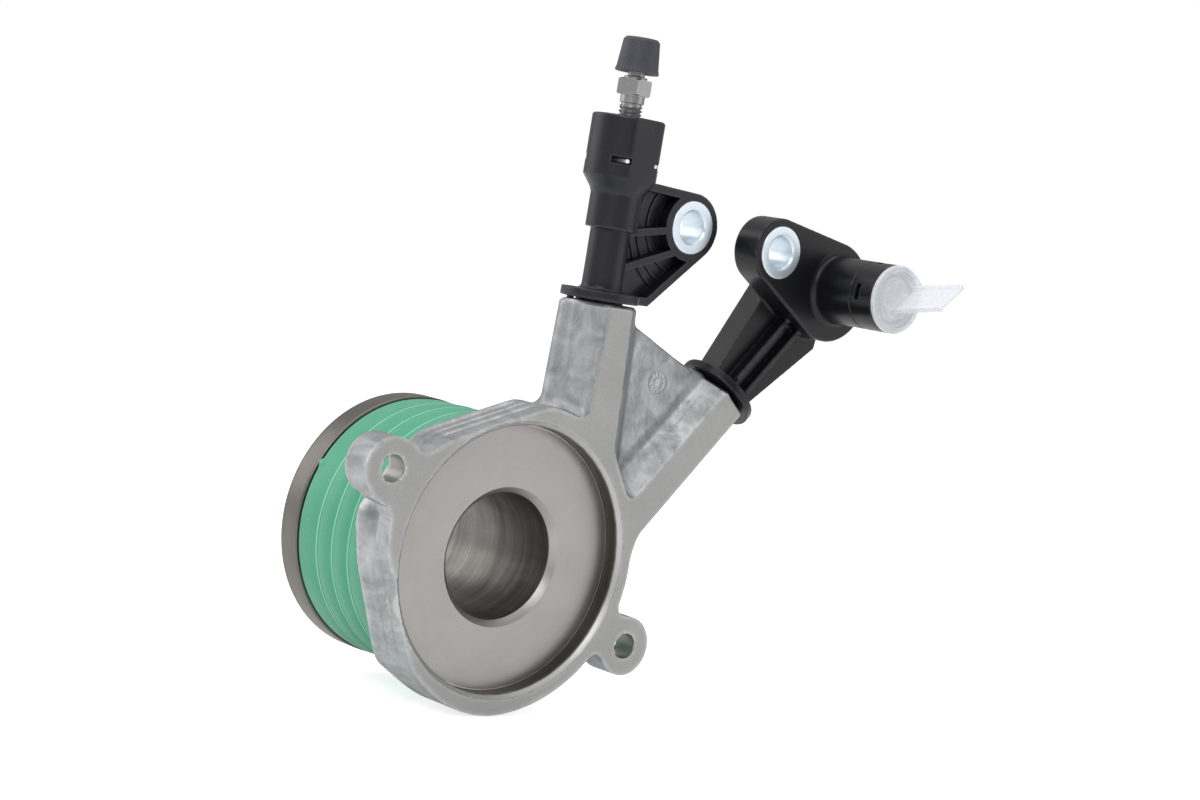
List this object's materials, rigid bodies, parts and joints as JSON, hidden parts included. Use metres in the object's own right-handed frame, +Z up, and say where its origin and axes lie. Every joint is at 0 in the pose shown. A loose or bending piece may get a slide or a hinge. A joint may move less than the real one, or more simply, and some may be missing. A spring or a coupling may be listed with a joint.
{
  "type": "clutch slave cylinder",
  "caption": "Concentric clutch slave cylinder with cast housing, green dust boot, release bearing and two black plastic port adapters.",
  "frame": {"origin": "where the cylinder axis crosses the machined gearbox face", "axes": "+Z up along the bleed port, +Y along the cylinder axis away from the gearbox towards the clutch, +X to the side of the inlet port"},
  "size_m": [0.1606, 0.1078, 0.1748],
  "materials": {
    "cast_aluminium": "die-cast skin with machined faces",
    "turned_steel": "fine turned",
    "bearing_steel": "ground satin",
    "polished_steel": "polished",
    "spring_steel": "dark, lightly oiled",
    "zinc_steel": "bright zinc plate",
    "plated_steel": "dull zinc plate",
    "black_plastic": "glass-filled, satin",
    "natural_plastic": "moulded, matt",
    "green_rubber": "matt",
    "black_rubber": "matt",
    "grey_rubber": "matt",
    "clear_plastic": "milky, translucent"
  },
  "bodies": {
    "body": {"housing": "cast_aluminium", "guide_sleeve": "turned_steel", "sleeve_gasket": "black_rubber", "stop_ring": "spring_steel", "preload_spring": "spring_steel", "dust_boot": "green_rubber", "bleed_adapter": "black_plastic", "bleed_insert": "plated_steel", "bleed_clip": "spring_steel", "bleed_bushing": "zinc_steel", "inlet_adapter": "black_plastic", "inlet_bushing": "zinc_steel", "socket_seal": "black_rubber", "spigot_seals": "black_rubber", "adapter_pins": "spring_steel"},
    "slider": {"piston": "natural_plastic", "piston_seal": "black_rubber", "bearing_carrier": "natural_plastic", "bearing_inner_ring": "bearing_steel", "bearing_shield": "bearing_steel", "bearing_clip": "spring_steel"},
    "turning_ring": {"bearing_outer_ring": "bearing_steel"},
    "ball_set": {"ball_cage": "natural_plastic", "bearing_balls": "polished_steel"},
    "bleeder": {"bleed_screw": "plated_steel"},
    "bleeder_cap": {"bleed_cap": "grey_rubber"},
    "plug": {"transit_plug": "clear_plastic"}
  },
  "joints": [
    {"name": "release_slide", "type": "slide", "parent": "body", "child": "slider", "axis": [0, 1, 0], "range_m": [-0.012, 0], "stiffness_N_per_m": 3000, "springref_m": 0.02, "deforming": ["preload_spring", "dust_boot"]},
    {"name": "bearing_spin", "type": "hinge", "parent": "slider", "child": "turning_ring", "pos_m": [0, 0.0501, 0], "axis": [0, 1, 0], "continuous": true},
    {"name": "cage_spin", "type": "hinge", "parent": "slider", "child": "ball_set", "pos_m": [0, 0.0501, 0], "axis": [0, 1, 0], "continuous": true},
    {"name": "bleed_screw_turn", "type": "hinge", "parent": "body", "child": "bleeder", "pos_m": [0.0216, 0.0094, 0.11], "axis": [0, 0, 1], "range_deg": [0, 360]},
    {"name": "bleed_cap_pull", "type": "slide", "parent": "bleeder", "child": "bleeder_cap", "axis": [0, 0, 1], "range_m": [0, 0.015]},
    {"name": "transit_plug_pull", "type": "slide", "parent": "body", "child": "plug", "axis": [0, -1, 0], "range_m": [0, 0.03]}
  ],
  "couplings": [
    {"joint": "cage_spin", "follows": "bearing_spin", "ratio": 0.551}
  ]
}
